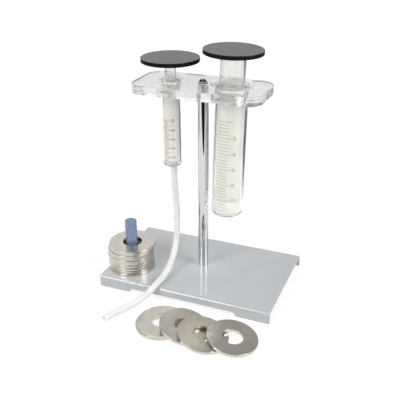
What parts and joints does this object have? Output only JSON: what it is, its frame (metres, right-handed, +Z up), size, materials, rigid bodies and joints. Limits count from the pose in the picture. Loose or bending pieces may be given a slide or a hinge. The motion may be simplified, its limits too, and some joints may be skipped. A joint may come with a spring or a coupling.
{
  "type": "pascals law apparatus",
  "caption": "Teaching apparatus: glass syringes of different bore hang from a clear plate on a rod, each with a platform for ring weights kept on a post, over a sheet metal base.",
  "frame": {"origin": "middle of the set's footprint on the table, without the soft tube", "axes": "+X to the right along the base's front edge, from the small syringe to the large one; +Y to the back; +Z up"},
  "size_m": [0.194, 0.193, 0.2543],
  "materials": {
    "grey_paint": "semi-gloss light grey paint on sheet steel",
    "rod_chrome": "polished chrome",
    "clear_acrylic": "clear acrylic with polished faces",
    "blue_steel": "satin blue-grey steel",
    "barrel_glass": "clear glass with printed scale",
    "ground_glass": "clear glass, finely ground where it slides",
    "black_acrylic": "gloss black",
    "silicone": "translucent white silicone",
    "fastener_steel": "zinc-plated steel",
    "ring_nickel": "polished nickel plate"
  },
  "bodies": {
    "frame": {"base_plate": "grey_paint", "support_rod": "rod_chrome", "rod_screw": "fastener_steel", "rod_washer": "fastener_steel", "top_plate": "clear_acrylic", "plate_screw": "fastener_steel", "plate_washer": "fastener_steel", "weight_post": "blue_steel", "post_screw": "fastener_steel", "post_washer": "fastener_steel", "small_barrel": "barrel_glass", "large_barrel": "barrel_glass", "tube": "silicone"},
    "small_piston": {"small_plunger": "ground_glass", "small_platform": "black_acrylic"},
    "large_piston": {"large_plunger": "ground_glass", "large_platform": "black_acrylic"},
    "stack_ring_1": {"stack_ring_1": "ring_nickel"},
    "stack_ring_2": {"stack_ring_2": "ring_nickel"},
    "stack_ring_3": {"stack_ring_3": "ring_nickel"},
    "stack_ring_4": {"stack_ring_4": "ring_nickel"},
    "stack_ring_5": {"stack_ring_5": "ring_nickel"},
    "stack_ring_6": {"stack_ring_6": "ring_nickel"},
    "stack_ring_7": {"stack_ring_7": "ring_nickel"},
    "stack_ring_8": {"stack_ring_8": "ring_nickel"},
    "stack_ring_9": {"stack_ring_9": "ring_nickel"},
    "stack_ring_10": {"stack_ring_10": "ring_nickel"},
    "loose_ring_1": {"loose_ring_1": "ring_nickel"},
    "loose_ring_2": {"loose_ring_2": "ring_nickel"},
    "loose_ring_3": {"loose_ring_3": "ring_nickel"},
    "loose_ring_4": {"loose_ring_4": "ring_nickel"},
    "loose_ring_5": {"loose_ring_5": "ring_nickel"}
  },
  "joints": [
    {"name": "small_plunger_slide", "type": "slide", "parent": "frame", "child": "small_piston", "axis": [0, 0, 1], "range_m": [-0.0024, 0.0466]},
    {"name": "large_plunger_slide", "type": "slide", "parent": "frame", "child": "large_piston", "axis": [0.0262, 0, 0.9997], "range_m": [-0.0134, 0.0688]},
    {"name": "stack_ring_1_lift", "type": "slide", "parent": "frame", "child": "stack_ring_1", "axis": [0, 0, 1], "range_m": [0, 0.056]},
    {"name": "stack_ring_2_lift", "type": "slide", "parent": "stack_ring_1", "child": "stack_ring_2", "axis": [0, 0, 1], "range_m": [0, 0.053]},
    {"name": "stack_ring_3_lift", "type": "slide", "parent": "stack_ring_2", "child": "stack_ring_3", "axis": [0, 0, 1], "range_m": [0, 0.05]},
    {"name": "stack_ring_4_lift", "type": "slide", "parent": "stack_ring_3", "child": "stack_ring_4", "axis": [0, 0, 1], "range_m": [0, 0.047]},
    {"name": "stack_ring_5_lift", "type": "slide", "parent": "stack_ring_4", "child": "stack_ring_5", "axis": [0, 0, 1], "range_m": [0, 0.044]},
    {"name": "stack_ring_6_lift", "type": "slide", "parent": "stack_ring_5", "child": "stack_ring_6", "axis": [0, 0, 1], "range_m": [0, 0.041]},
    {"name": "stack_ring_7_lift", "type": "slide", "parent": "stack_ring_6", "child": "stack_ring_7", "axis": [0, 0, 1], "range_m": [0, 0.038]},
    {"name": "stack_ring_8_lift", "type": "slide", "parent": "stack_ring_7", "child": "stack_ring_8", "axis": [0, 0, 1], "range_m": [0, 0.035]},
    {"name": "stack_ring_9_lift", "type": "slide", "parent": "stack_ring_8", "child": "stack_ring_9", "axis": [0, 0, 1], "range_m": [0, 0.032]},
    {"name": "stack_ring_10_lift", "type": "slide", "parent": "stack_ring_9", "child": "stack_ring_10", "axis": [0, 0, 1], "range_m": [0, 0.029]},
    {"name": "loose_ring_1_lift", "type": "slide", "parent": "frame", "child": "loose_ring_1", "axis": [0, 0, 1], "range_m": [0, 0.04]},
    {"name": "loose_ring_2_lift", "type": "slide", "parent": "loose_ring_1", "child": "loose_ring_2", "axis": [0, 0, 1], "range_m": [0, 0.04]},
    {"name": "loose_ring_3_lift", "type": "slide", "parent": "loose_ring_2", "child": "loose_ring_3", "axis": [0, 0, 1], "range_m": [0, 0.04]},
    {"name": "loose_ring_4_lift", "type": "slide", "parent": "loose_ring_3", "child": "loose_ring_4", "axis": [0, 0, 1], "range_m": [0, 0.04]},
    {"name": "loose_ring_5_lift", "type": "slide", "parent": "loose_ring_4", "child": "loose_ring_5", "axis": [0, 0, 1], "range_m": [0, 0.04]}
  ]
}
